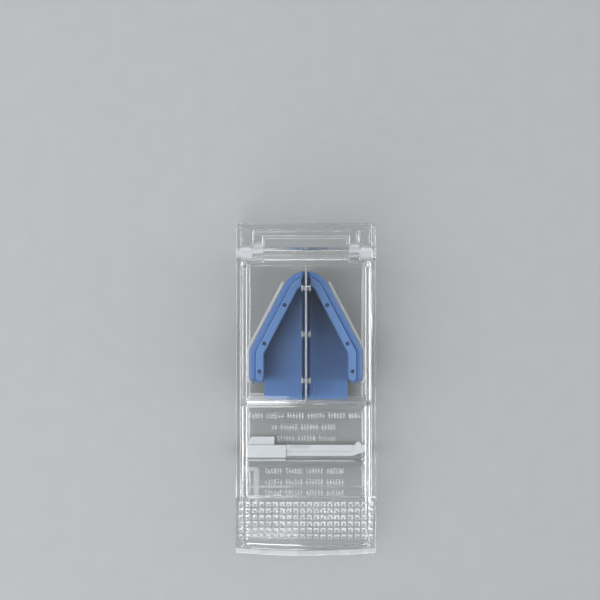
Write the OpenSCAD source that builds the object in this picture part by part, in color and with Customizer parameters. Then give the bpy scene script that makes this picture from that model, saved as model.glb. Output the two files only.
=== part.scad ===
// Pill splitter: a clear tray with a hinged clear cover that carries a steel blade, a blue V-shaped
// pill holder with two soft grip strips, and a loose safety lock kept in the rear store.
// Millimetres. +Z is up, +Y runs back to the hinge and +X is to the right.
// The origin is the middle of the tray's underside.

/* [Overall] */
// Length of the tray, front to back
body_l = 89; // [84:0.5:110]
// Width of the tray
body_w = 37.4; // [31:0.2:46]
// Plan radius of the tray's corners
corner_r = 1.6; // [0.8:0.1:3]
// How far the front face bows out in the middle
front_bow = 0.8; // [0.3:0.1:2]

/* [Tray] */
// Thickness of the outer walls
wall_t = 1.4; // [1:0.1:2]
// Thickness of the floor
floor_t = 1.5; // [1:0.1:2.5]
// Height of the side walls
tray_h = 15.5; // [12.9:0.1:18.6]
// How far the rear wall stays below the side walls, so that the open cover swings over it
rear_wall_drop = 3.1; // [2.9:0.1:5]
// Thickness of the walls between the bays
divider_t = 1.2; // [0.8:0.1:1.6]
// Inside length of the hinge bay
hinge_bay_l = 8.8; // [8:0.1:12]
// Inside length of the cutting bay
cutting_bay_l = 37.6; // [31:0.1:45]
// Inside length of the rear store, where the lock lies
rear_store_l = 13.4; // [10:0.1:15]

/* [Cover] */
// Thickness of the cover's top
cover_t = 1.5; // [1.2:0.1:1.8]
// Thickness of the skirts inside the tray's walls
skirt_t = 1.1; // [0.8:0.1:1.4]
// Gap between a skirt and the wall beside it
skirt_gap = 0.35; // [0.25:0.05:0.6]
// How far the skirts reach below the top of the side walls
skirt_drop = 3; // [2:0.1:3.5]
// How far the low part of the cover stands over the side walls
store_rise = 2.5; // [2.1:0.1:3]
// How far the raised blade housing stands over the low part
housing_rise = 4; // [3.5:0.1:6]
// Radius of the step's rounded front edge
step_r = 3.3; // [2.2:0.1:4]
// Length of the sloping thumb plate
thumb_l = 16.1; // [13:0.1:18]
// Slope of the thumb plate
thumb_slope = 13; // [6:0.5:15]
// Thickness of the thumb plate
thumb_t = 1.6; // [1.2:0.1:1.8]
// Gap between the thumb plate and the wall tops that it shuts on
seat_gap = 0.15; // [0.1:0.05:0.3]

/* [Thumb grip] */
// Least distance of the pads from the plate's sides
pad_margin = 0.5; // [0.3:0.1:2]
// Number of rows of grip pads
pad_rows = 6; // [3:1:7]
// Pitch of the pads, both ways
pad_pitch = 1.815; // [1.5:0.005:1.85]
// Side of one square pad
pad_side = 1.3; // [0.8:0.05:1.4]
// Height of the pads
pad_h = 0.3; // [0.2:0.05:0.5]
// Distance from the plate's rear edge to the first row
pad_start = 1.4; // [1:0.1:2.5]

/* [Hinge] */
// Distance of the hinge axis below the top of the side walls
hinge_drop = 3; // [2.8:0.1:3.3]
// Diameter of the hinge rod
rod_d = 3.2; // [2.6:0.1:3.9]
// Radial clearance of the rod in the tray's bores
rod_clear = 0.05; // [0.02:0.01:0.09]
// Wall of the knuckles and bosses round the rod
knuckle_wall = 1; // [0.8:0.1:1.2]
// Width of each knuckle on the cover
knuckle_w = 2.7; // [2:0.1:3.5]
// Gap between a knuckle and its cheek, and between a cheek and a skirt
cheek_gap = 0.3; // [0.2:0.05:0.5]
// Thickness of the cheeks that carry the rod
cheek_t = 1.1; // [0.8:0.1:1.4]
// How far the rod's ends stay inside the tray's sides
rod_inset = 0.3; // [0:0.1:0.6]

/* [Pill holder] */
// Thickness of the holder's floor
holder_floor_t = 2.7; // [2:0.1:3.5]
// Height of the holder's walls over the tray's underside
holder_wall_z = 11; // [9:0.1:12]
// Thickness of the holder's walls
holder_wall_t = 1.6; // [1.2:0.1:2]
// Thickness of the soft strips that line the walls
strip_t = 2.2; // [1.6:0.1:2.6]
// Height of the strips over the tray's underside
strip_z = 12.5; // [10:0.1:13]
// Gap between the holder and the cover's skirts, seen from above
holder_gap = 0.75; // [0.5:0.05:1.2]
// Width of the slot that the blade enters
blade_slot_w = 1.9; // [1.2:0.1:2.4]
// Material left under the blade slot
blade_slot_floor = 1.1; // [0.8:0.1:1.6]
// Diameter of the strips' pins
strip_pin_d = 1.1; // [0.8:0.1:1.3]

/* [Blade] */
// Gap between each end of the blade and the cover's wall there
blade_gap = 0.3; // [0.1:0.1:1]
// Thickness of the blade
blade_t = 0.6; // [0.3:0.05:0.8]
// Height of the ground bevel
blade_bevel = 1.8; // [1:0.1:3]
// Diameter of the rivets that hold the blade
rivet_d = 1.2; // [1:0.1:1.4]

/* [Safety lock] */
// Width of the lock's bar
lock_bar_w = 3; // [2.4:0.1:3.2]
// Thickness of the lock's bar
lock_bar_t = 2.2; // [1.6:0.1:2.6]
// Length of the lock's thick end
lock_head_l = 10.8; // [8:0.1:12]
// How much wider the lock's thick end is than its bar
lock_head_step = 0.4; // [0.2:0.1:0.8]
// Thickness of the lock's thick end
lock_head_t = 3; // [2.4:0.1:3.4]
// Play of the lock between the tray's side walls, both ends together
lock_play = 1.7; // [1:0.1:2.4]

/* [Hidden] */
$fn = 64;
bow_fn = 256;
arc_steps = 24;
eps = 0.01;
root = 0.3;           // how far a rib runs into the wall that it grows from
sharpest_r = 0.4;     // least plan radius of an inner corner
past = 1;             // how far a cutter runs past what it cuts

// Places along Y, from the back to the front
back_y = body_l / 2;
hinge_wall_y = back_y - wall_t - hinge_bay_l;
knuckle_r = rod_d / 2 + knuckle_wall;
hinge_y = hinge_wall_y + knuckle_r - 0.5;
cutting_back_y = hinge_wall_y - divider_t;
stop_wall_y = cutting_back_y - cutting_bay_l;
rear_store_y = stop_wall_y - divider_t;
store_wall_y = rear_store_y - rear_store_l;
front_store_y = store_wall_y - divider_t;
front_y = -body_l / 2;
thumb_y = front_y + thumb_l;
bow_r = (pow(body_w / 2, 2) + pow(front_bow, 2)) / (2 * front_bow);

// Half widths
side_in = body_w / 2 - wall_t;
skirt_inset = wall_t + skirt_gap;
skirt_out = body_w / 2 - skirt_inset;
skirt_in = skirt_out - skirt_t;
cheek_out = skirt_in - cheek_gap + 0.05;
cheek_in = cheek_out - cheek_t;
knuckle_out = cheek_in - cheek_gap;
knuckle_in = knuckle_out - knuckle_w;

// The cover's levels
store_cover_z = tray_h + store_rise;
body_h = store_cover_z + housing_rise;
ceiling_z = body_h - cover_t;
hinge_z = tray_h - hinge_drop;
thumb_fall = thumb_l * tan(thumb_slope);
thumb_drop = thumb_t / cos(thumb_slope);
step_y = stop_wall_y - 0.1;
lid_back_y = hinge_wall_y;
pads_across = floor((body_w - 2 * pad_margin - pad_side) / pad_pitch);
lid_back_z = hinge_z + 1.9;
boss_room = knuckle_r + 0.23;
slope_meets_y = thumb_y - (store_cover_z - thumb_drop - seat_gap - tray_h) / tan(thumb_slope);
tray_front_z = store_cover_z - thumb_fall - thumb_drop - seat_gap;

// The stop bar behind the hinge
bar_y1 = back_y - wall_t - 0.9;
bar_y0 = bar_y1 - 1.3;
bar_z0 = hinge_z - 0.4;
bar_z1 = hinge_z + 1.6;

// The holder's V: an arc round the apex, a sloping run and a straight run
arm_t = holder_wall_t + strip_t;
apex = [0, cutting_back_y - 8];
apex_r = 6.5 - arm_t / 2;
bend = [skirt_in - holder_gap - arm_t / 2, stop_wall_y + 14.4];
arm_end_y = stop_wall_y + 7.7;
run_length = norm(bend - apex);
lean = atan2(bend[1] - apex[1], bend[0] - apex[0]) + acos(apex_r / run_length);
holder_floor_z = floor_t + holder_floor_t;
holder_half_w = bend[0] - arm_t / 2;
holder_front_y = stop_wall_y + 0.3;
slot_bottom_z = floor_t + blade_slot_floor;
rim_w = 1.2;
rim_h = 0.4;
fence_t = 0.8;
fence_gap = 0.2;
fence_z = 9;
fence_hook = 70;
strip_pin_recess = 0.35;
strip_pin_y = [cutting_back_y - 10.6, cutting_back_y - 20.9, arm_end_y + 1.5];

// The blade, and the [middle, length] along Y of each post that holds it
blade_back_y = lid_back_y - cover_t - blade_gap;
blade_front_y = step_y + cover_t + blade_gap;
back_post_y = blade_back_y - 5.5;
front_post_y = blade_front_y + 5.3;
posts = [[back_post_y + 3.7, 1.8], [back_post_y, 2.2],
         [(back_post_y + front_post_y) / 2, 1.8], [front_post_y, 4.2]];
riveted = [1, 2, 3];
post_w = 1.8;
post_drop = 4.2;
rivet_drop = 2.4;
rivet_head_d = 2;
rivet_head_t = 0.35;
blade_top_z = ceiling_z - 0.2;
blade_edge_z = slot_bottom_z + 0.9;

// The lock as it lies in the rear store, and the cage and eye that it is made for
lock_l = 2 * side_in - lock_play;
lock_head_w = lock_bar_w + lock_head_step;
lock_x = -side_in + 0.62 * lock_play;
lock_y = store_wall_y + 0.2;
lock_z = floor_t + 0.05;
nose_l = 4;
tab_l = 6.6;
tab_w = 2.2;
tab_t = 1.7;
bump_r = 0.8;
cage_t = 1.2;
cage_gap = 0.6;
cage_l = 10.1;
cage_z = tray_h - 5.5;
cage_in = side_in - 4.5;
window_y = front_store_y - 3.6;
window_l = 5.5;
window_z = [tray_h - 6.7, tray_h - 3.5];
eye_l = 4.6;
eye_z = tray_h - 7.9;
eye_rim = 0.85;

// --- Outlines ---

module rounded_rectangle(w, l, r) {
    square([w - 2 * r, l], center = true);
    square([w, l - 2 * r], center = true);
    for (x = [-1, 1], y = [-1, 1])
        translate([x * (w / 2 - r), y * (l / 2 - r)]) circle(r);
}

// The tray's outline from above, moved inwards by inset
module plan(inset) {
    intersection() {
        rounded_rectangle(body_w - 2 * inset, body_l - 2 * inset, max(corner_r - inset, sharpest_r));
        translate([0, front_y + bow_r]) circle(bow_r - inset, $fn = bow_fn);
    }
}

// A side view, in Y and Z, made w wide and centred on X
module along_x(w) {
    rotate([90, 0, 90]) translate([0, 0, -w / 2]) linear_extrude(w) children();
}

// A box from its lowest to its highest corner
module box(low, high) {
    translate(low) cube(high - low);
}

module both_sides() {
    children();
    mirror([1, 0, 0]) children();
}

// --- The V of the holder ---

function outward(off) = [bend[0] + off, bend[1] + off * tan(lean / 2)];
function tangent(off) = apex + (apex_r + off) * [cos(lean), sin(lean)];
function arm_end(off) = [outward(off)[0], arm_end_y];

// Points on an arc about a centre, from one angle to another
function arc_points(centre, r, from, to) =
    [for (i = [0:arc_steps]) let (a = from + (to - from) * i / arc_steps) centre + r * [cos(a), sin(a)]];

// Outline of the right arm, w wide, its middle line moved outwards by off: round the apex, down the slope
// and the straight run, round the end, and back along the inner side
module arm(off, w) {
    polygon(concat(arc_points(apex, apex_r + off + w / 2, 90, lean), [outward(off + w / 2)],
                   arc_points(arm_end(off), w / 2, 0, -180), [outward(off - w / 2)],
                   arc_points(apex, apex_r + off - w / 2, lean, 90)));
}

// Where the pins of the right strip stand
function on_strip(y) =
    let (off = -holder_wall_t / 2 + 0.05, from = tangent(off), to = outward(off))
    y > to[1] ? from + (to - from) * (from[1] - y) / (from[1] - to[1]) : [to[0], y];

// The blade's slot through whatever stands on the tray's floor
module blade_slot() {
    box([-blade_slot_w / 2, holder_front_y - past, slot_bottom_z],
        [blade_slot_w / 2, cutting_back_y, body_h]);
}

module strip_pin_holes(d) {
    for (y = strip_pin_y)
        translate([on_strip(y)[0], on_strip(y)[1], slot_bottom_z])
            cylinder(d = d, h = strip_z);
}

// --- Tray ---

// Side view of the tray: level walls that slope down under the thumb plate
module tray_side() {
    polygon([[back_y + past, -past], [back_y + past, tray_h], [slope_meets_y, tray_h],
             [front_y, tray_front_z], [front_y - past, tray_front_z], [front_y - past, -past]]);
}

// A wall across the tray with its front face at y: full width below, and narrower between the skirts
module cross_wall(y, low_z, high_z, high_half_w) {
    box([-side_in - root, y, floor_t - root], [side_in + root, y + divider_t, low_z]);
    box([-high_half_w, y, low_z - root], [high_half_w, y + divider_t, high_z]);
}

// A low fence round the outside of one arm of the holder, hooked round its end
module fence() {
    off = arm_t / 2 + fence_gap + fence_t / 2;
    translate([0, 0, floor_t - root]) linear_extrude(fence_z - floor_t + root)
        polygon(concat(arc_points(tangent(off), fence_t / 2, lean + 180, lean), [outward(off + fence_t / 2)],
                       arc_points(arm_end(0), off + fence_t / 2, 0, -fence_hook),
                       arc_points(arm_end(0), off - fence_t / 2, -fence_hook, 0),
                       [outward(off - fence_t / 2)]));
}

// The cheek and boss that carry one end of the hinge rod
module hinge_cheek() {
    low_z = hinge_z - 0.8;
    box([cheek_in, hinge_wall_y - root, floor_t - root], [cheek_out, back_y - wall_t + root, low_z]);
    translate([cheek_in, hinge_y, hinge_z]) rotate([0, 90, 0])
        cylinder(r = knuckle_r, h = side_in - cheek_in + root);
}

// The L-shaped cage of the safety lock beside the left wall of the front store
module lock_cage() {
    top_y = front_store_y - cage_gap;
    difference() {
        union() {
            box([-side_in - root, top_y - cage_l, floor_t - root], [-cage_in - cage_t, top_y, cage_z]);
            box([-side_in - root, top_y - cage_l, floor_t - root], [-cage_in, top_y - cage_t, cage_z]);
            translate([-cage_in - cage_t, top_y - cage_t, floor_t - root])
                cylinder(r = cage_t, h = cage_z - floor_t + root);
        }
        box([-side_in - past, top_y - cage_l - past, floor_t - past],
            [-cage_in - cage_t, top_y - cage_t, cage_z + past]);
    }
}

module base_tray() {
    color([0.9, 0.93, 0.95, 0.35]) difference() {
        union() {
            difference() {
                intersection() {
                    linear_extrude(tray_h) plan(0);
                    along_x(body_w + 2 * past) tray_side();
                }
                translate([0, 0, floor_t]) linear_extrude(tray_h) plan(wall_t);
                box([-side_in, back_y - corner_r - past, tray_h - rear_wall_drop],
                    [side_in, back_y + past, tray_h + past]);
            }
            cross_wall(cutting_back_y, hinge_z - knuckle_r - cheek_gap, hinge_z + 1.5,
                knuckle_in - cheek_gap);
            cross_wall(stop_wall_y - divider_t, tray_h - skirt_drop - 0.4, tray_h, skirt_in - 0.5);
            cross_wall(store_wall_y - divider_t, tray_h - skirt_drop - 0.4, tray_h, skirt_in - 0.5);
            both_sides() {
                fence();
                hinge_cheek();
            }
            lock_cage();
        }
        translate([-body_w, hinge_y, hinge_z]) rotate([0, 90, 0])
            cylinder(d = rod_d + 2 * rod_clear, h = 2 * body_w);
        box([-body_w / 2 - past, window_y - window_l, window_z[0]],
            [-side_in + eps, window_y, window_z[1]]);
    }
}

// --- Pill holder ---

module pill_holder() {
    color([0.33, 0.47, 0.72]) difference() {
        union() {
            translate([0, 0, floor_t]) linear_extrude(holder_floor_t) {
                translate([-holder_half_w, holder_front_y])
                    square([2 * holder_half_w, bend[1] - holder_front_y]);
                polygon([[-bend[0], arm_end_y], [bend[0], arm_end_y], bend, tangent(0),
                         [-tangent(0)[0], tangent(0)[1]], [-bend[0], bend[1]]]);
                translate(apex) circle(apex_r);
            }
            both_sides() {
                translate([0, 0, floor_t]) linear_extrude(holder_floor_t) arm(0, arm_t);
                translate([0, 0, holder_floor_z - root])
                    linear_extrude(holder_wall_z - holder_floor_z + root)
                        arm(strip_t / 2, holder_wall_t);
            }
            for (x = [-1, 1])
                translate([x * (blade_slot_w + rim_w) / 2 - rim_w / 2, holder_front_y, floor_t])
                    cube([rim_w, apex[1] - holder_front_y, holder_floor_t + rim_h]);
        }
        both_sides() strip_pin_holes(strip_pin_d);
        blade_slot();
    }
}

module grip_strip() {
    color([0.42, 0.55, 0.78]) difference() {
        translate([0, 0, holder_floor_z]) linear_extrude(strip_z - holder_floor_z)
            arm(-holder_wall_t / 2, strip_t);
        strip_pin_holes(strip_pin_d);
        blade_slot();
    }
}

// Six pins that hold the strips down, their heads a little below the strips' tops
module strip_pins() {
    color([0.2, 0.3, 0.5]) both_sides()
        for (y = strip_pin_y)
            translate([on_strip(y)[0], on_strip(y)[1], slot_bottom_z])
                cylinder(d = strip_pin_d, h = strip_z - slot_bottom_z - strip_pin_recess);
}

// --- Cover ---

// Side view of all that lies under the cover's outside, taken in by t
module cover_side(t) {
    step_in = step_y + t;
    polygon([[lid_back_y - t, 0], [lid_back_y - t, body_h - t], [step_y + step_r, body_h - t],
             [step_y + step_r, body_h - step_r], [step_in, body_h - step_r], [step_in, store_cover_z - t],
             [thumb_y + t * tan(thumb_slope / 2), store_cover_z - t],
             [front_y - past, store_cover_z - t / cos(thumb_slope) - (thumb_l + past) * tan(thumb_slope)],
             [front_y - past, 0]]);
    translate([step_y + step_r, body_h - step_r]) circle(step_r - t);
}

// Side view of the space that the skirts may fill: above their lower edge, and clear of the hinge bosses
module skirt_side() {
    low_z = tray_h - skirt_drop;
    polygon([[lid_back_y, body_h], [lid_back_y, lid_back_z],
             [hinge_y - boss_room - 1.05, low_z], [slope_meets_y, low_z],
             [front_y, tray_front_z - skirt_drop], [front_y, body_h]]);
}

module thumb_plate() {
    top = [[thumb_y, store_cover_z], [front_y - past, store_cover_z - (thumb_l + past) * tan(thumb_slope)]];
    intersection() {
        linear_extrude(body_h) plan(0);
        along_x(body_w + 2 * past)
            polygon([top[0], top[1], top[1] - [0, thumb_drop], top[0] - [0, thumb_drop]]);
    }
}

// Square pads in rows down the slope, rooted in the plate
module grip_pads() {
    translate([0, thumb_y, store_cover_z]) rotate([thumb_slope, 0, 0])
        translate([-pads_across * pad_pitch / 2, -pad_start - pad_side / 2, -root])
            linear_extrude(pad_h + root)
                for (i = [0:pads_across], j = [0:pad_rows - 1])
                    translate([i * pad_pitch, -j * pad_pitch]) square(pad_side, center = true);
}

// Side view of one knuckle: a disc round the rod, a web up to the cover and an arm back to the stop bar
module knuckle_side() {
    translate([hinge_y, hinge_z]) circle(knuckle_r);
    polygon([[lid_back_y - root, lid_back_z], [lid_back_y - root, hinge_z + 5.5],
             [lid_back_y, hinge_z + 5.5], [hinge_y + 1.8, hinge_z + 1.85], [hinge_y, hinge_z]]);
    polygon([[hinge_y, bar_z0], [bar_y1, bar_z0], [bar_y1, bar_z1], [hinge_y, bar_z1]]);
}

// The yoke behind the cover: two knuckles, with a stop bar between them
module hinge_yoke() {
    both_sides() translate([(knuckle_in + knuckle_out) / 2, 0, 0]) along_x(knuckle_w) knuckle_side();
    box([-knuckle_in - root, bar_y0, bar_z0], [knuckle_in + root, bar_y1, bar_z1]);
}

module blade_posts() {
    for (p = posts)
        translate([-post_w / 2, p[0] - p[1] / 2, ceiling_z - post_drop])
            cube([post_w, p[1], post_drop + root]);
}

// The eye on the left skirt that the lock's tab would pass through
module lock_eye() {
    middle_y = window_y - window_l / 2;
    difference() {
        box([-skirt_out, middle_y - eye_l / 2, eye_z], [-skirt_in, middle_y + eye_l / 2, tray_h]);
        box([-skirt_out - past, middle_y - eye_l / 2 + eye_rim, eye_z + eye_rim],
            [-skirt_in + past, middle_y + eye_l / 2 - eye_rim, window_z[1] - 0.2]);
    }
}

module lid_cover() {
    color([0.92, 0.95, 0.97, 0.3]) difference() {
        union() {
            intersection() {
                linear_extrude(body_h + past) plan(skirt_inset);
                along_x(body_w) difference() {
                    cover_side(0);
                    cover_side(cover_t);
                    translate([front_y - past, -past]) square([body_l, tray_front_z + past]);
                    translate([cutting_back_y - past, -past])
                        square([body_l, lid_back_z + past]);
                }
            }
            intersection() {
                linear_extrude(body_h + past) difference() {
                    plan(skirt_inset);
                    plan(skirt_inset + skirt_t);
                }
                along_x(body_w) intersection() {
                    cover_side(0);
                    skirt_side();
                }
            }
            thumb_plate();
            grip_pads();
            hinge_yoke();
            blade_posts();
            lock_eye();
        }
        box([-blade_t / 2, blade_front_y, ceiling_z - post_drop - past],
            [blade_t / 2, blade_back_y, blade_top_z]);
        for (i = riveted)
            translate([-post_w, posts[i][0], ceiling_z - rivet_drop]) rotate([0, 90, 0])
                cylinder(d = rivet_d, h = 2 * post_w);
        translate([-knuckle_out - past, hinge_y, hinge_z]) rotate([0, 90, 0])
            cylinder(d = rod_d, h = 2 * (knuckle_out + past));
    }
}

// --- Blade ---

module blade() {
    color([0.75, 0.76, 0.78]) difference() {
        translate([0, blade_back_y, 0]) rotate([90, 0, 0]) linear_extrude(blade_back_y - blade_front_y)
            polygon([[-blade_t / 2, blade_top_z], [blade_t / 2, blade_top_z],
                     [blade_t / 2, blade_edge_z + blade_bevel], [0.02, blade_edge_z],
                     [-0.02, blade_edge_z], [-blade_t / 2, blade_edge_z + blade_bevel]]);
        for (i = riveted)
            translate([-past, posts[i][0], ceiling_z - rivet_drop]) rotate([0, 90, 0])
                cylinder(d = rivet_d, h = 2 * past);
    }
}

// Plastic rivets, each a shank through two post halves and the blade with a flat head at each end
module blade_rivets() {
    color([0.9, 0.92, 0.94]) for (i = riveted)
        translate([0, posts[i][0], ceiling_z - rivet_drop]) rotate([0, 90, 0]) {
            cylinder(d = rivet_d, h = post_w + rivet_head_t, center = true);
            for (side = [-1, 1])
                translate([0, 0, side * (post_w + rivet_head_t) / 2])
                    cylinder(d = rivet_head_d, h = rivet_head_t, center = true);
        }
}

// One rod, pressed through both knuckles and turning in the tray's bores
module hinge_rod() {
    half_l = body_w / 2 - rod_inset;
    color([0.85, 0.87, 0.9]) translate([-half_l, hinge_y, hinge_z]) rotate([0, 90, 0])
        cylinder(d = rod_d, h = 2 * half_l);
}

// --- Safety lock ---

// The lock lies on the store's floor with its thick end to the left and its nose to the right
module safety_lock() {
    bar_y = lock_head_w - lock_bar_w;
    color([0.88, 0.9, 0.93]) translate([lock_x, lock_y, lock_z]) {
        linear_extrude(lock_bar_t) {
            translate([0, bar_y]) square([lock_l - nose_l, lock_bar_w]);
            polygon([[lock_l - nose_l, bar_y], [lock_l - nose_l, bar_y + lock_bar_w],
                     [lock_l - bump_r, bar_y + lock_bar_w], [lock_l, bar_y + lock_bar_w - bump_r],
                     [lock_l - bump_r, bar_y + 0.5 * lock_bar_w - 0.3]]);
            translate([lock_l - bump_r, bar_y + lock_bar_w - bump_r]) circle(bump_r);
            translate([lock_l - nose_l + 1.6, bar_y + lock_bar_w]) circle(bump_r);
        }
        box([lock_head_l, bar_y + lock_bar_w / 2, lock_bar_t - eps],
            [lock_l - nose_l, bar_y + lock_bar_w, lock_bar_t + 0.35]);
        linear_extrude(lock_head_t)
            polygon([[0.5, 0], [lock_head_l, 0], [lock_head_l, lock_head_w], [0, lock_head_w], [0, 0.7]]);
        linear_extrude(tab_t)
            polygon([[0, lock_head_w - eps], [tab_l + 1.1, lock_head_w - eps],
                     [tab_l + 1.1, lock_head_w + tab_w], [1.5, lock_head_w + tab_w]]);
    }
}

base_tray();
pill_holder();
mirror([1, 0, 0]) grip_strip();  // grip_strip_left
grip_strip();  // grip_strip_right
strip_pins();
lid_cover();
blade();
blade_rivets();
hinge_rod();
safety_lock();
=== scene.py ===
import math

import bmesh
import bpy
import numpy as np
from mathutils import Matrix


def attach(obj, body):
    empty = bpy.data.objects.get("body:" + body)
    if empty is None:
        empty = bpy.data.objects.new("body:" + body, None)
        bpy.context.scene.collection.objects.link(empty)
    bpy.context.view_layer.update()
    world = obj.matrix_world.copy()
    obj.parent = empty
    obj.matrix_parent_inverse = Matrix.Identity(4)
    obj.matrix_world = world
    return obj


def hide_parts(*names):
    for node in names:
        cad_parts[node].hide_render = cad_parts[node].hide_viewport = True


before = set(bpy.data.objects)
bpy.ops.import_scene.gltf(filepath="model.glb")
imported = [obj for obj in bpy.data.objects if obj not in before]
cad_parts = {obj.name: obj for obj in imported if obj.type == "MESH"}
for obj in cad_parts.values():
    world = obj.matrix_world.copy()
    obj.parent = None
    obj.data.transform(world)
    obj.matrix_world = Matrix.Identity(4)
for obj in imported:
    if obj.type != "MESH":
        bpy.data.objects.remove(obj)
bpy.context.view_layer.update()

# --- Camera, light and floor ---
# A long lens looks straight down on the splitter, which lies on its flat base on a pale grey board.
# Soft boxes stand on the left, on the right and behind, and two more in front, a little to the left.

MM = 0.001
CAMERA_PLACE = (-1.6, 23.85, 582)
LENS = 127.6
SENSOR = 36
CLIP_START = 0.01
CLEAR_BOUNCES = 32
MIRROR_BOUNCES = 16

scene = bpy.context.scene
camera = bpy.data.objects.new("camera", bpy.data.cameras.new("camera"))
camera.data.lens = LENS
camera.data.sensor_width = SENSOR
camera.data.clip_start = CLIP_START
camera.location = [MM * c for c in CAMERA_PLACE]
scene.collection.objects.link(camera)
scene.camera = camera
scene.view_settings.view_transform = "Standard"
scene.cycles.caustics_reflective = False
scene.cycles.caustics_refractive = False
scene.cycles.max_bounces = CLEAR_BOUNCES
scene.cycles.transmission_bounces = CLEAR_BOUNCES
scene.cycles.transparent_max_bounces = CLEAR_BOUNCES
scene.cycles.glossy_bounces = MIRROR_BOUNCES

# Each soft box: its name, its place, what it faces, its width and height, all in mm, and its power
# in watts. The two in front leave out the strip between them that the thumb plate would mirror.
SOFT_BOXES = [
    ("left_box", (-430, -25, 430), (0, -25, 0), 230, 720, 2.8),
    ("front_low_box", (-250, -485, 239), (-250, 0, -34), 490, 468, 1.9),
    ("front_high_box", (-250, -191, 538), (-250, 3, 0), 490, 195, 0.84),
    ("right_box", (470, -25, 360), (0, -25, 0), 200, 620, 2.1),
    ("back_box", (-40, 480, 400), (-40, 0, 0), 620, 150, 1.9),
]


def soft_box(name, place, target, width, height, power):
    """A rectangular light at place, turned to face target."""
    light = bpy.data.lights.new(name, "AREA")
    light.shape = "RECTANGLE"
    light.size = MM * width
    light.size_y = MM * height
    light.energy = power
    box = bpy.data.objects.new(name, light)
    away = np.subtract(place, target)
    box.location = [MM * c for c in place]
    turn = math.atan2(away[1], away[0]) + math.pi / 2
    tip = math.atan2(math.hypot(away[0], away[1]), away[2])
    box.rotation_euler = (tip, 0, turn)
    box.visible_camera = False
    scene.collection.objects.link(box)


for soft in SOFT_BOXES:
    soft_box(*soft)

ROOM_COLOUR = (0.93, 0.96, 1.0, 1)
ROOM_STRENGTH = 0.25

room = bpy.data.worlds.new("room")
room.use_nodes = True
room_light = room.node_tree.nodes["Background"]
room_light.inputs["Color"].default_value = ROOM_COLOUR
room_light.inputs["Strength"].default_value = ROOM_STRENGTH
scene.world = room


class Signal:
    """A number or a colour on its way through a finish. A sum of signals adds its Math nodes."""

    def __init__(self, finish, socket):
        self.finish = finish
        self.socket = socket

    def math(self, operation, *terms):
        sockets = dict(enumerate(terms))
        return self.finish.node("ShaderNodeMath", {"operation": operation}, sockets)

    def __add__(self, other):
        return self.math("ADD", self, other)

    def __radd__(self, other):
        return self.math("ADD", other, self)

    def __sub__(self, other):
        return self.math("SUBTRACT", self, other)

    def __rsub__(self, other):
        return self.math("SUBTRACT", other, self)

    def __mul__(self, other):
        return self.math("MULTIPLY", self, other)

    def __rmul__(self, other):
        return self.math("MULTIPLY", other, self)

    def __abs__(self):
        return self.math("ABSOLUTE", self)


class Finish:
    """A new material. node() adds a node: its settings first, then the value or link of each
    socket."""

    def __init__(self, name):
        self.material = bpy.data.materials.new(name)
        self.material.use_nodes = True
        self.tree = self.material.node_tree
        self.tree.nodes.clear()
        self.place = self.node("ShaderNodeTexCoord", output="Object")

    def node(self, kind, settings=None, sockets=None, output=0):
        node = self.tree.nodes.new(kind)
        for name, value in (settings or {}).items():
            setattr(node, name, value)
        for name, value in (sockets or {}).items():
            if isinstance(value, Signal):
                self.tree.links.new(value.socket, node.inputs[name])
            else:
                node.inputs[name].default_value = value
        return Signal(self, node.outputs[output]) if node.outputs else None

    def noise(self, size, detail=2, stretch=(1, 1, 1)):
        """Clouds of about the given size in mm, drawn out along the axes by stretch, from 0 to 1."""
        drawn = self.node("ShaderNodeMapping", {},
                          {"Vector": self.place, "Scale": [1 / s for s in stretch]})
        return self.node("ShaderNodeTexNoise", {},
                         {"Vector": drawn, "Scale": 1 / (MM * size), "Detail": detail})

    def axes(self):
        """The three parts of the place on the piece, in mm."""
        parts = [self.node("ShaderNodeSeparateXYZ", {}, {"Vector": self.place}, output=axis)
                 for axis in "XYZ"]
        return [part * (1 / MM) for part in parts]

    def step(self, value, low, high):
        """0 below low, 1 above high and a smooth rise between."""
        return self.node("ShaderNodeMapRange", {"interpolation_type": "SMOOTHSTEP"},
                         {"Value": value, "From Min": low, "From Max": high})

    def between(self, value, low, high, soft=0.1):
        """1 from low to high and 0 outside, with soft for the rise and the fall."""
        return self.step(value, low - soft, low) - self.step(value, high, high + soft)

    def inside(self, place, box):
        """1 in a box given by its lowest and highest x, y and z, and 0 outside."""
        x, y, z = [self.between(value, low, high) for value, (low, high) in zip(place, box)]
        return z * y * x

    def colours(self, factor, first, second):
        """The first colour where the factor is 0 and the second where it is 1. A Mix node for
        colours takes them at its sockets 6 and 7 and gives the mix at its output 2."""
        return self.node("ShaderNodeMix", {"data_type": "RGBA"},
                         {0: factor, 6: first, 7: second}, output=2)

    def bump(self, height, depth, strength=1.0):
        """Normals of a surface raised by height times depth in mm."""
        return self.node("ShaderNodeBump", {},
                         {"Height": height, "Distance": MM * depth, "Strength": strength})

    def shader(self, **sockets):
        """The plastic, rubber or metal itself, its sockets named with underscores for spaces."""
        return self.node("ShaderNodeBsdfPrincipled", {},
                         {name.replace("_", " "): value for name, value in sockets.items()})

    def clear(self, solid, shade):
        """Lets the light that makes shadows through the solid, tinted by shade."""
        shadow = self.node("ShaderNodeLightPath", output="Is Shadow Ray")
        passing = self.node("ShaderNodeBsdfTransparent", {}, {"Color": shade})
        return self.node("ShaderNodeMixShader", {}, {0: shadow, 1: solid, 2: passing})

    def surface(self, shader):
        """The finished material, with shader as its surface."""
        self.node("ShaderNodeOutputMaterial", {}, {"Surface": shader})
        return self.material


BOARD_HALF = 900
BOARD_DROP = 0.05
BOARD_POINTS = 9
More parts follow.
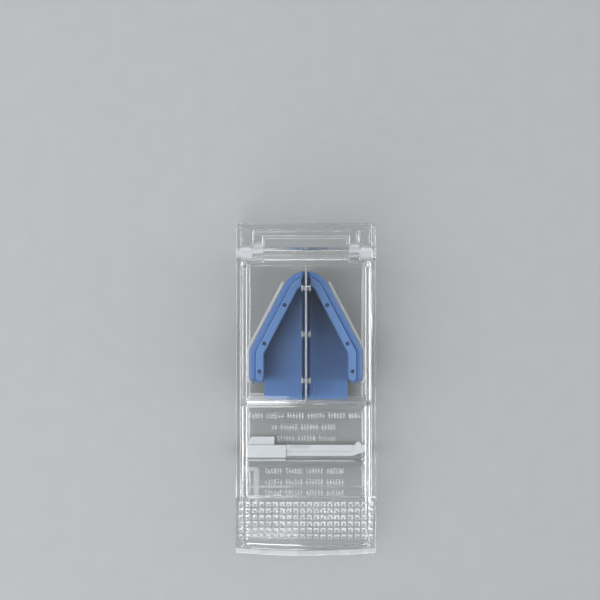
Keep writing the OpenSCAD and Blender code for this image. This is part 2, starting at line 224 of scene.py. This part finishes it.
# The board is grey within NEAR_R of its middle and painted pale beyond FAR_R, both in mm: painted fill
# light, which the plastic mirrors in the low views
NEAR_R = 150
FAR_R = 700
BOARD_PALE = (0.305, 0.31, 0.315, 1)
BOARD_DEEP = (0.28, 0.285, 0.29, 1)
BOARD_FAR_PAINTED_FILL = (0.86, 0.87, 0.88, 1)

card = Finish("pale_board")
fibres = card.noise(6, detail=4)
tooth = card.noise(0.5)
x, y, z = card.axes()
# Painted fill light: the board turns pale far from the splitter
painted_fill_light = card.step(x * x + y * y, NEAR_R ** 2, FAR_R ** 2)
pale_board = card.surface(card.shader(
    Base_Color=card.colours(painted_fill_light, card.colours(fibres, BOARD_DEEP, BOARD_PALE), BOARD_FAR_PAINTED_FILL),
    Roughness=0.75 + 0.15 * tooth,
    Normal=card.bump(tooth, 0.02),
))


def grid_faces(rows, columns, closed=False):
    """The four corners of each face of a grid of points. If it is closed, its last column is joined
    to its first."""
    r = np.arange(rows - 1)[:, None]
    c = np.arange(columns if closed else columns - 1)[None, :]
    r2, c2 = r + 1, (c + 1) % columns
    corners = [r * columns + c, r * columns + c2, r2 * columns + c2, r2 * columns + c]
    return np.stack(np.broadcast_arrays(*corners), axis=-1).reshape(-1, 4)


def piece(name, points, faces, finish):
    """A new object made of points in mm and faces, smoothly shaded, in one finish."""
    mesh = bpy.data.meshes.new(name)
    mesh.from_pydata(np.asarray(points, float) * MM, [], [list(f) for f in faces])
    mesh.update()
    mesh.shade_smooth()
    mesh.materials.append(finish)
    obj = bpy.data.objects.new(name, mesh)
    scene.collection.objects.link(obj)
    return obj


across = np.linspace(-BOARD_HALF, BOARD_HALF, BOARD_POINTS)
board_x, board_y = np.meshgrid(across, across)
board_z = np.full_like(board_x, -BOARD_DROP)
board_points = np.stack([board_x, board_y, board_z], axis=-1).reshape(-1, 3)
piece("board", board_points, grid_faces(BOARD_POINTS, BOARD_POINTS), pale_board)

# --- Tray ---
# The box that everything else is fixed to: injection-moulded clear polystyrene, 1.4 mm thick.
# Its walls are polished, and its edges are rounded a little by the mould. It rests on its underside.

# In degrees: edges are rounded above SHARP and shaded as one below SMOOTH, and faces are joined
# below FLAT. Vertices closer than JOINED mm are merged.
SHARP = 25
SMOOTH = 13
FLAT = 0.6
JOINED = 0.001
ROUNDING_STEPS = 4
FULL_WEIGHT = 100


def softened(node, name, finish, radii, lift=0.0, split=False):
    """A copy of a moulded CAD piece with rounded edges. Its doubled vertices are merged and its flat
    triangles joined, and cut again where split is true. Its underside is raised by lift. Each edge
    that turns more than SHARP degrees is rounded to the radius that radii gives for the place of its
    middle, all in mm. Faces that turn less than SMOOTH degrees are shaded as one."""
    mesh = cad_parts[node].data.copy()
    shape = bmesh.new()
    shape.from_mesh(mesh)
    bmesh.ops.remove_doubles(shape, verts=shape.verts, dist=MM * JOINED)
    bmesh.ops.dissolve_limit(shape, angle_limit=math.radians(FLAT),
                             verts=shape.verts, edges=shape.edges)
    if split:
        bmesh.ops.triangulate(shape, faces=shape.faces)
    shape.to_mesh(mesh)
    shape.free()
    points = np.empty(3 * len(mesh.vertices))
    mesh.vertices.foreach_get("co", points)
    points = points.reshape(-1, 3)
    if lift:
        points[:, 2] = np.maximum(points[:, 2], points[:, 2].min() + MM * lift)
        mesh.vertices.foreach_set("co", points.ravel())
    ends = np.empty(2 * len(mesh.edges), int)
    mesh.edges.foreach_get("vertices", ends)
    ends = points[ends.reshape(-1, 2)] / MM
    edge_of = np.empty(len(mesh.loops), int)
    mesh.loops.foreach_get("edge_index", edge_of)
    sides = np.empty(len(mesh.polygons), int)
    mesh.polygons.foreach_get("loop_total", sides)
    normals = np.empty(3 * len(mesh.polygons))
    mesh.polygons.foreach_get("normal", normals)
    face_of = np.repeat(np.arange(len(sides)), sides)
    pair = face_of[np.argsort(edge_of, kind="stable")].reshape(-1, 2)
    normals = normals.reshape(-1, 3)
    turn = np.einsum("ij,ij->i", normals[pair[:, 0]], normals[pair[:, 1]])
    radius = np.where(turn < math.cos(math.radians(SHARP)), radii(*ends.mean(axis=1).T), 0.0)
    widest = radius.max()
    weights = mesh.attributes.new("bevel_weight_edge", "FLOAT", "EDGE")
    weights.data.foreach_set("value", radius / widest)
    mesh.shade_smooth()
    mesh.materials.clear()
    mesh.materials.append(finish)
    obj = bpy.data.objects.new(name, mesh)
    scene.collection.objects.link(obj)
    rounding = obj.modifiers.new("rounded_edges", "BEVEL")
    rounding.limit_method = "WEIGHT"
    rounding.width = MM * widest
    rounding.segments = ROUNDING_STEPS
    rounding.use_clamp_overlap = False
    shown = obj.evaluated_get(bpy.context.evaluated_depsgraph_get())
    rounded = bpy.data.meshes.new_from_object(shown)
    obj.modifiers.clear()
    obj.data = rounded
    rounded.set_sharp_from_angle(angle=math.radians(SMOOTH))
    level = obj.modifiers.new("level_faces", "WEIGHTED_NORMAL")
    level.mode = "FACE_AREA"
    level.weight = FULL_WEIGHT
    level.keep_sharp = True
    return obj


HINGE_Y = 36.4
HINGE_Z = 12.5
# The matt places at the hinge lie beyond FROST_FROM_X and near the axis: the square of the distance
# from it at which they begin to fade, and the square at which they end
FROST_FROM_X = 11.4
FROST_SOFT_X = 0.1
FROST_R_SQUARED = (7.2, 7.8)
HINGE_MATT = 0.55
STYRENE = (0.995, 1.0, 1.0, 1)
STYRENE_FLOW = (0.985, 0.993, 0.993, 1)
STYRENE_SHADE = (0.99, 0.995, 0.995, 1)
STYRENE_IOR = 1.59
FROST = (0.70, 0.715, 0.745, 1)
FROST_DEEP = (0.62, 0.635, 0.67, 1)
HINGE_FROST_PAINTED_SHADE = (0.43, 0.445, 0.465, 1)


def clear_styrene(name, matt_places=None):
    """Clear polystyrene, its polish and its level varying slowly along the flow of the moulding.
    Round the hinge axis the mould was left matt, so that the plastic looks white there; that white is
    painted darker than at the other matt places, a painted shade holding down the light crowded between
    boss, rod and knuckle. It looks white too where matt_places, given the finish and a place in mm, is
    above 0."""
    styrene = Finish(name)
    flow = styrene.noise(14, stretch=(1, 3, 1))
    haze = styrene.noise(2.5, detail=3)
    clear = styrene.shader(
        Base_Color=styrene.colours(flow, STYRENE, STYRENE_FLOW),
        Roughness=0.015 + 0.03 * haze,
        IOR=STYRENE_IOR, Transmission_Weight=1.0,
        Normal=styrene.bump(flow, 0.12, 0.35),
    )
    x, y, z = styrene.axes()
    off_y, off_z = y - HINGE_Y, z - HINGE_Z
    near_axis = 1 - styrene.step(off_y * off_y + off_z * off_z, *FROST_R_SQUARED)
    beyond = styrene.step(abs(x), FROST_FROM_X, FROST_FROM_X + FROST_SOFT_X)
    matt = HINGE_MATT * near_axis * beyond
    if matt_places:
        matt = matt + matt_places(styrene, x, y, z)
    grain = styrene.noise(0.35)
    frost = styrene.colours(grain, FROST, FROST_DEEP)
    # Painted shade: round the hinge the white is coloured darker
    white = styrene.shader(
        Base_Color=styrene.colours(near_axis, frost, HINGE_FROST_PAINTED_SHADE),
        Roughness=0.42,
        IOR=STYRENE_IOR, Transmission_Weight=0.2, Normal=styrene.bump(grain, 0.03))
    partly_white = styrene.node("ShaderNodeMixShader", {}, {0: matt, 1: clear, 2: white})
    return styrene.surface(styrene.clear(partly_white, STYRENE_SHADE))


# The tray's matt places: boxes given by their lowest and highest x, y and z, how high and how far
# forward the front wall turns matt and white, and how matt each place is. The front wall's white, more
# in patches, is painted light: it stands in for the light that the clear wall carries inside it
FENCE_TOPS = ((-16, 16), (1.5, 31), (8.7, 9.2))
CAGE_TOP = ((-17.2, -12.5), (-31.2, -20.2), (9.5, 10.2))
FRONT_Z = (3, 11.5)
FRONT_Y = (-42.3, -42.2)
PATCH_LEVELS = (0.42, 0.6)
FENCE_MATT = 0.65
CAGE_MATT = 0.4
FRONT_MATT_PAINTED_LIGHT = 0.75
PATCH_PAINTED_LIGHT = 0.25


def tray_matt(finish, x, y, z):
    """The tops of the fences and of the lock's cage are matt, and so, more in patches, is the front
    wall, whose white is painted light for the light the clear wall carries inside it.
    """
    fences = finish.inside((x, y, z), FENCE_TOPS)
    cage = finish.inside((x, y, z), CAGE_TOP)
    painted_light_patches = finish.step(finish.noise(5), *PATCH_LEVELS)
    # Painted light: the front wall is made white, more in patches
    front_wall = finish.step(z, *FRONT_Z) * (1 - finish.step(y, *FRONT_Y))
    front_matt_painted_light = FRONT_MATT_PAINTED_LIGHT + PATCH_PAINTED_LIGHT * painted_light_patches
    return FENCE_MATT * fences + CAGE_MATT * cage + front_wall * front_matt_painted_light


clear_tray = clear_styrene("clear_styrene", tray_matt)


# The radii of a moulded piece's edges: outside, and inside and low down
OUTER_R = 0.3
INNER_R = 0.12


def tray_radii(x, y, z):
    """The outer walls are rounded most. The bores, the dividers, the fences and the foot are rounded
    less. The window, and the cusps where the low rear wall runs out along the side walls, stay
    sharp."""
    bore = np.hypot(y - HINGE_Y, z - HINGE_Z) < 3.2
    inside = (np.abs(x) < 17.25) & (z > 1.6) & (y < 42)
    cusp = (np.abs(x) > 14.8) & (y > 40.5) & (z > 11) & (z < 13)
    window = (x < -16.8) & (y > -31.5) & (y < -18.8) & (z > 7) & (z < 12.5)
    foot = z < 1.7
    return np.select([cusp | window, bore | inside | foot], [0, INNER_R], OUTER_R)


tray = softened("base_tray", "tray", clear_tray, tray_radii)
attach(tray, "tray")
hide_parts("base_tray")

# --- Moulded dashes on the tray's floor ---
# Rows of short raised strokes where such a tray carries its moulded directions: part of the same
# clear polystyrene, a little proud of the floors of both pill stores.

FLOOR_Z = 1.5
DASH_W = 0.42
DASH_L = 1.7
DASH_H = 0.055
DASH_LIFT = 0.012
DASH_FOOT = 0.005
DASH_PITCH = 0.8
# Of each DASH_GROUP strokes, the one numbered DASH_GAP from 0 is left out
DASH_GROUP = 7
DASH_GAP = 5
# Each row: its middle along Y, and its lowest and highest X
DASH_ROWS = [(-7.7, -15.2, 14.9), (-10.8, -9.0, 8.1), (-13.8, -9.0, 8.1),
             (-22.8, -11.6, 10.5), (-25.8, -11.6, 10.5), (-28.7, -11.6, 10.5)]


def pillow(w, l, h, foot, columns=5, rows=7):
    """A closed pillow on a low foot. Its top is a grid in u and v, which run from -1 to 1 as the sines
    of evenly spaced angles, and stands over the foot by h times the square root of
    (1 - u squared) (1 - v squared). A wall goes down from the grid's rim to a flat base."""
    u = np.sin(np.linspace(-1, 1, columns) * math.pi / 2)
    v = np.sin(np.linspace(-1, 1, rows) * math.pi / 2)
    u, v = np.meshgrid(u, v)
    height = foot + h * ((1 - u ** 2) * (1 - v ** 2)) ** 0.5
    top = np.stack([u * w / 2, v * l / 2, height], axis=-1).reshape(-1, 3)
    grid = np.arange(rows * columns).reshape(rows, columns)
    rim = np.concatenate([grid[0], grid[1:, -1], grid[-1, -2::-1], grid[-2:0:-1, 0]])
    base = len(top) + np.arange(len(rim))
    wall = np.concatenate([rim, base])[grid_faces(2, len(rim), closed=True)[:, ::-1]]
    points = np.concatenate([top, top[rim] * [1, 1, 0]])
    return points, np.concatenate([grid_faces(rows, columns), wall]), base[::-1]


stroke, stroke_faces, stroke_base = pillow(DASH_W, DASH_L, DASH_H, DASH_FOOT)
stroke_places = np.array([(x, y, FLOOR_Z + DASH_LIFT) for y, low, high in DASH_ROWS
                          for x in np.arange(low, high, DASH_PITCH)])
stroke_places = stroke_places[np.arange(len(stroke_places)) % DASH_GROUP != DASH_GAP]
dash_points = (stroke[None] + stroke_places[:, None]).reshape(-1, 3)
shift = len(stroke) * np.arange(len(stroke_places))[:, None, None]
dash_faces = (stroke_faces[None] + shift).reshape(-1, 4).tolist()
dash_faces += (stroke_base[None] + shift[:, 0]).tolist()
dashes = piece("floor_dashes", dash_points, dash_faces, clear_tray)
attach(dashes, "tray")

# --- Pill holder ---
# The blue V that a pill is pushed into: moulded polypropylene, satin, pressed on the tray's floor
# between the fences. Its slot lets the blade through to just above its own floor.

HOLDER_BLUE = (0.075, 0.182, 0.43, 1)
HOLDER_DEEP = (0.066, 0.162, 0.395, 1)
HOLDER_LIFT = 0.03

dyed = Finish("blue_plastic")
clouds = dyed.noise(5, detail=3)
satin = dyed.noise(0.25)
blue_plastic = dyed.surface(dyed.shader(
    Base_Color=dyed.colours(clouds, HOLDER_DEEP, HOLDER_BLUE),
    Roughness=0.36 + 0.14 * satin,
    Normal=dyed.bump(satin, 0.008),
    IOR=1.49,
))


PIN_PLACES = np.array([(5.72, 22.5), (11.14, 12.2), (12.45, 4.7)])
PIN_RIM_R = 0.75


def near_a_pin(x, y):
    """Whether a point is on the rim of a pin's hole."""
    off_x = np.abs(x)[:, None] - PIN_PLACES[:, 0]
    off_y = y[:, None] - PIN_PLACES[:, 1]
    return (np.hypot(off_x, off_y) < PIN_RIM_R).any(axis=1)


def holder_radii(x, y, z):
    """The walls and the front are rounded most, and the slot's rims and the foot less. The pins'
    holes and the narrow places at the front corners and at the rear stay sharp."""
    slot = (np.abs(x) < 2.3) & (z < 5)
    cusp = (y < 3.6) & (np.abs(x) > 11.4) & (z > 4) & (z < 4.4)
    end = (np.abs(x) < 1.5) & (y > 26)
    foot = z < 4.3
    return np.select([near_a_pin(x, y) | cusp | end, slot | foot], [0, INNER_R], OUTER_R)


holder = softened("pill_holder", "holder", blue_plastic, holder_radii, lift=HOLDER_LIFT)
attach(holder, "tray")
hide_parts("pill_holder")

# --- Grip strips ---
# Two strips of soft thermoplastic rubber, a shade lighter than the holder, that line its arms and
# grip the pill. They stand proud of the arms and are held by three pins each.

STRIP_BLUE = (0.095, 0.208, 0.455, 1)
STRIP_DEEP = (0.086, 0.188, 0.42, 1)
STRIP_R = 0.32
STRIP_ARM_Z = 12.4

rubber = Finish("soft_blue")
bloom = rubber.noise(3, detail=3)
matt = rubber.noise(0.18)
soft_blue = rubber.surface(rubber.shader(
    Base_Color=rubber.colours(bloom, STRIP_DEEP, STRIP_BLUE),
    Roughness=0.5 + 0.15 * matt,
    Normal=rubber.bump(matt, 0.012),
    Sheen_Weight=0.12,
    IOR=1.48,
))


def strip_radii(x, y, z):
    """The strips' tops are rounded all along. The pins' holes and what is below stay sharp."""
    return np.where(near_a_pin(x, y) | (z < STRIP_ARM_Z), 0, STRIP_R)


for side in ("left", "right"):
    strip = softened(f"grip_strip_{side}", f"strip_{side}", soft_blue, strip_radii, split=True)
    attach(strip, "tray")
    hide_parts(f"grip_strip_{side}")

# --- Strip pins ---
# Six turned pins of blue nylon, pressed through the strips into the holder. Their dark blue is partly
# painted shade: as dark as the shade in the holes where their heads sit. Each head has a small cone in
# its end and sits a little below the strip's top.

PIN_BLUE_HOLE_SHADE = (0.03, 0.06, 0.155, 1)
PIN_DEEP_HOLE_SHADE = (0.022, 0.045, 0.125, 1)
PIN_PROFILE = [(0, 2.65), (0.35, 2.65), (0.53, 2.85), (0.53, 11.9),
               (0.47, 12.08), (0.36, 12.13), (0, 11.8)]
ROUND = 32


def turned(profile, count=ROUND):
    """The points and faces of a profile of (radius, height) turned about Z: at each of count
    angles, x is the radius times its cosine and y the radius times its sine. Each end is a pole."""
    profile = np.array(profile, float)
    angle = np.arange(count) * 2 * math.pi / count
    ring = profile[1:-1]
    rings = np.stack([ring[:, :1] * np.cos(angle), ring[:, :1] * np.sin(angle),
                      np.broadcast_to(ring[:, 1:], (len(ring), count))], axis=-1).reshape(-1, 3)
    low, high = len(rings), len(rings) + 1
    points = np.concatenate([rings, [[0, 0, profile[0, 1]], [0, 0, profile[-1, 1]]]])
    faces = grid_faces(len(ring), count, closed=True).tolist()
    here = np.arange(count)
    there = (here + 1) % count
    last = (len(ring) - 1) * count
    faces += np.stack([there, here, np.full(count, low)], axis=-1).tolist()
    faces += np.stack([last + here, last + there, np.full(count, high)], axis=-1).tolist()
    return points, faces


def many(points, faces, places):
    """The same shape at several places, as one set of points and faces."""
    places = np.array(places, float)
    all_points = (np.asarray(points)[None] + places[:, None]).reshape(-1, 3)
    all_faces = [[len(points) * i + v for v in f] for i in range(len(places)) for f in faces]
    return all_points, all_faces


nylon = Finish("dark_blue")
dyed_spots = nylon.noise(0.4)
# Partly painted shade: the pins are coloured as dark as the shade in their holes
dark_blue = nylon.surface(nylon.shader(
    Base_Color=nylon.colours(dyed_spots, PIN_DEEP_HOLE_SHADE, PIN_BLUE_HOLE_SHADE),
    Roughness=0.4 + 0.2 * dyed_spots))
pin_points, pin_faces = turned(PIN_PROFILE)
pin_places = [(s * x, y, 0) for x, y in PIN_PLACES for s in (-1, 1)]
pins = piece("pins", *many(pin_points, pin_faces, pin_places), dark_blue)
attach(pins, "tray")
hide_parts("strip_pins")

# --- Cover ---
# The hinged lid with its raised blade housing, moulded in one shot from clear polystyrene. Rows of
# small square pads on the thumb plate give grip, and posts under the housing hold the blade.

THUMB_Y = -28.4
THUMB_SLOPE = math.radians(13)
THUMB_EDGE = 0.3
STORE_COVER_Z = 18


def cover_radii(x, y, z):
    """The housing and the skirts are rounded. The pads on the plate, the posts and their holes, the
    knuckles' bores and the eye on the left skirt stay sharp."""
    over_plate = z - STORE_COVER_Z - (y - THUMB_Y) * math.tan(THUMB_SLOPE)
    pads = (y < THUMB_Y - THUMB_EDGE) & (over_plate > -0.05) & (np.abs(x) < 18.3)
    posts = (np.abs(x) < 1.3) & (y > -6) & (y < 33.2) & (z < 20.6)
    bore = np.hypot(y - HINGE_Y, z - HINGE_Z) < 2.2
    eye = (x < -15.7) & (np.abs(y + 26.6) < 3.2) & (z < 15.4) & (z > 7)
    return np.where(pads | posts | bore | eye, 0, OUTER_R)


PAD_PITCH = 1.815
PAD_FIRST_X = -17.2425
PAD_FIRST_DOWN = 2.05
PAD_RISE = 0.3
PAD_TOP_SHARE = 0.45
PAD_FROM = 0.5
PAD_NEAR = 0.05


def tapered_pads(mesh):
    """Draws the top corners of each square pad towards its middle: in the plate's own plane, a
    corner's distance from the nearest place of the pads' grid is multiplied by PAD_TOP_SHARE."""
    points = np.empty(3 * len(mesh.vertices))
    mesh.vertices.foreach_get("co", points)
    points = points.reshape(-1, 3) / MM
    cos, sin = math.cos(THUMB_SLOPE), math.sin(THUMB_SLOPE)
    back, up = points[:, 1] - THUMB_Y, points[:, 2] - STORE_COVER_Z
    down, rise = -back * cos - up * sin, up * cos - back * sin
    top = (back < -PAD_FROM) & (np.abs(rise - PAD_RISE) < PAD_NEAR)
    middle_x = PAD_FIRST_X + PAD_PITCH * np.round((points[:, 0] - PAD_FIRST_X) / PAD_PITCH)
    middle_down = PAD_FIRST_DOWN + PAD_PITCH * np.round((down - PAD_FIRST_DOWN) / PAD_PITCH)
    new_x = middle_x + PAD_TOP_SHARE * (points[:, 0] - middle_x)
    new_down = middle_down + PAD_TOP_SHARE * (down - middle_down)
    points[:, 0] = np.where(top, new_x, points[:, 0])
    points[:, 1] = np.where(top, THUMB_Y - new_down * cos - rise * sin, points[:, 1])
    points[:, 2] = np.where(top, STORE_COVER_Z - new_down * sin + rise * cos, points[:, 2])
    mesh.vertices.foreach_set("co", (points * MM).ravel())


# The pads' slopes are matt between these heights over the plate
SLOPE_RISE = (0.05, 0.24)
SLOPE_SOFT = 0.02
SLOPE_MATT = 0.4


def cover_matt(finish, x, y, z):
    """The slopes of the pads: what stands between the plate and the pads' tops."""
    rise = (z - STORE_COVER_Z) * math.cos(THUMB_SLOPE) - (y - THUMB_Y) * math.sin(THUMB_SLOPE)
    slopes = SLOPE_MATT * finish.between(rise, *SLOPE_RISE, SLOPE_SOFT)
    return slopes * (1 - finish.step(y, THUMB_Y - THUMB_EDGE, THUMB_Y))


clear_cover = clear_styrene("clear_styrene_cover", cover_matt)
cover = softened("lid_cover", "cover", clear_cover, cover_radii)
tapered_pads(cover.data)
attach(cover, "cover")
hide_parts("lid_cover")

# --- Hinge rod ---
# One moulded rod of clear polystyrene, pressed through the cover's knuckles. Its ends turn in the
# tray's bosses and are left matt, so that they look white, a white painted darker as painted shade.

ROD_R = 1.58
ROD_HALF = 18.4
ROD_ROUND = 64
ROD_PROFILE = [(0, -ROD_HALF), (1.1, -ROD_HALF), (1.42, -ROD_HALF + 0.12), (ROD_R, -ROD_HALF + 0.4),
               (ROD_R, -14.4), (ROD_R, -7), (ROD_R, 0), (ROD_R, 7), (ROD_R, 14.4),
               (ROD_R, ROD_HALF - 0.4), (1.42, ROD_HALF - 0.12), (1.1, ROD_HALF), (0, ROD_HALF)]
rod_points, rod_faces = turned(ROD_PROFILE, ROD_ROUND)
rod_points = rod_points[:, [2, 0, 1]] + [0, HINGE_Y, HINGE_Z]
rod = piece("rod", rod_points, rod_faces, clear_styrene("clear_styrene_rod"))
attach(rod, "cover")
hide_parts("hinge_rod")

# --- Blade ---
# A stiff strip of stainless steel, brushed along its length and ground to an edge below. It stands in
# slots in the cover's posts, so that only its back shows from above.

BLADE_HALF_T = 0.28
BLADE_TOP = 20.26
BLADE_EDGE = 3.52
BLADE_GROUND = 1.8
BLADE_ENDS = (-2.78, 32.48)
# The blade's ends are narrowed at these distances from each end, to these shares of its thickness
END_STEPS = np.array([0, 0.05, 0.2])
END_SHARES = np.array([0.55, 0.85, 1])
MIDDLE_STEPS = 9
SPINE_STEPS = 9

STEEL = (0.42, 0.42, 0.43, 1)
STEEL_DEEP = (0.33, 0.33, 0.34, 1)
STEEL_BACK_PAINTED_REFLECTION = (0.185, 0.195, 0.23, 1)

ground_top = BLADE_EDGE + BLADE_GROUND
flank = np.array([[0.015, BLADE_EDGE],
                  [BLADE_HALF_T - 0.01, ground_top - 0.04],
                  [BLADE_HALF_T, ground_top + 0.06]])
spine_angle = np.linspace(0, math.pi, SPINE_STEPS)
spine_z = BLADE_TOP - BLADE_HALF_T + BLADE_HALF_T * np.sin(spine_angle)
spine = np.stack([BLADE_HALF_T * np.cos(spine_angle), spine_z], axis=-1)
blade_section = np.concatenate([flank, spine, flank[::-1] * [-1, 1]])


def carried(section, along, scale):
    """A closed section of (x, z) carried along Y: one ring for each place in along, its x scaled there,
    and a flat face over each end."""
    rings = np.empty((len(along), len(section), 3))
    rings[..., 0] = section[:, 0] * scale[:, None]
    rings[..., 1] = along[:, None]
    rings[..., 2] = section[:, 1]
    count = len(section)
    faces = grid_faces(len(along), count, closed=True)[:, ::-1].tolist()
    last = (len(along) - 1) * count
    faces += [list(range(count)), list(range(last, last + count))[::-1]]
    return rings.reshape(-1, 3), faces


along = np.concatenate([BLADE_ENDS[0] + END_STEPS, np.linspace(-1, 31, MIDDLE_STEPS),
                        BLADE_ENDS[1] - END_STEPS[::-1]])
scale = np.concatenate([END_SHARES, np.ones(MIDDLE_STEPS), END_SHARES[::-1]])
brushed = Finish("steel")
lines = brushed.noise(0.05, stretch=(1, 30, 1))
grinding = brushed.noise(0.04, stretch=(1, 1, 20))
x, y, z = brushed.axes()
ground = 1 - brushed.step(z, ground_top - 0.1, ground_top)
# Painted reflection: the back is coloured darker and bluer than the sides, for what the round spine
# mirrors from above
back = brushed.step(z, BLADE_TOP - 0.4, BLADE_TOP - 0.3)
marks = lines * (1 - ground) + grinding * ground
side_colour = brushed.colours(marks, STEEL_DEEP, STEEL)
steel = brushed.surface(brushed.shader(
    Base_Color=brushed.colours(back, side_colour, STEEL_BACK_PAINTED_REFLECTION),
    Metallic=1.0, Roughness=0.32 + 0.16 * marks + 0.1 * back,
    Normal=brushed.bump(marks, 0.01),
))
blade = piece("cutting_blade", *carried(blade_section, along, scale), steel)
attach(blade, "cover")
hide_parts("blade")

# --- Blade rivets ---
# Three rivets of pale plastic, pushed through the posts and the blade inside the housing and headed
# over with a domed tool on both sides.

RIVET_Z = 18.1
RIVET_Y = [27.0, 14.85, 2.5]
RIVET_PALE = (0.54, 0.56, 0.58, 1)
RIVET_DEEP = (0.44, 0.46, 0.48, 1)
RIVET_PROFILE = [(0, -1.27), (0.45, -1.24), (0.8, -1.14), (0.98, -1.0), (0.98, -0.92),
                 (0.59, -0.915), (0.59, 0), (0.59, 0.915), (0.98, 0.92), (0.98, 1.0),
                 (0.8, 1.14), (0.45, 1.24), (0, 1.27)]
rivet_points, rivet_faces = turned(RIVET_PROFILE)
rivet_points = rivet_points[:, [2, 0, 1]]
headed = Finish("rivet_plastic")
cast = headed.noise(0.3)
rivet_plastic = headed.surface(headed.shader(
    Base_Color=headed.colours(cast, RIVET_DEEP, RIVET_PALE),
    Roughness=0.3 + 0.2 * cast, IOR=1.5, Normal=headed.bump(cast, 0.006)))
rivet_places = [(0, y, RIVET_Z) for y in RIVET_Y]
rivets = piece("rivets", *many(rivet_points, rivet_faces, rivet_places), rivet_plastic)
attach(rivets, "cover")
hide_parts("blade_rivets")

# --- Safety lock ---
# A loose bar of milky polypropylene that lies in the rear store. Its head with a tab goes through the
# cover's eye and the tray's window to keep the cover shut.

MILKY = (0.56, 0.58, 0.61, 1)
MILKY_DEEP = (0.51, 0.535, 0.565, 1)
MILKY_THIN = (0.42, 0.45, 0.47, 1)
# The thinner middle of the bar, less milky: its lowest and highest x, and where it starts along y
THIN_X = (-4.2, 1.0)
THIN_SOFT_X = 0.2
THIN_Y = (-16.6, -16.4)
THIN_SHARE = 0.8
LOCK_R = 0.16

milk = Finish("frosted_white")
cloudy = milk.noise(4, detail=3)
skin = milk.noise(0.3)
x, y, z = milk.axes()
thin = THIN_SHARE * milk.between(x, *THIN_X, THIN_SOFT_X) * milk.step(y, *THIN_Y)
thick_colour = milk.colours(cloudy, MILKY_DEEP, MILKY)
frosted_white = milk.surface(milk.shader(
    Base_Color=milk.colours(thin, thick_colour, MILKY_THIN),
    Roughness=0.38 + 0.14 * skin, IOR=1.49,
    Subsurface_Weight=0.25, Subsurface_Radius=(0.002, 0.002, 0.002), Subsurface_Scale=1.0,
    Normal=milk.bump(skin, 0.008),
))


def lock_radii(x, y, z):
    """The bar is rounded all along, apart from the low step between its two levels."""
    low_step = (z > 3.7) & (z < 4.2) & (x > -5)
    return np.where(low_step, 0, LOCK_R)


lock = softened("safety_lock", "lock_bar", frosted_white, lock_radii, split=True)
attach(lock, "lock")
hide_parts("safety_lock")
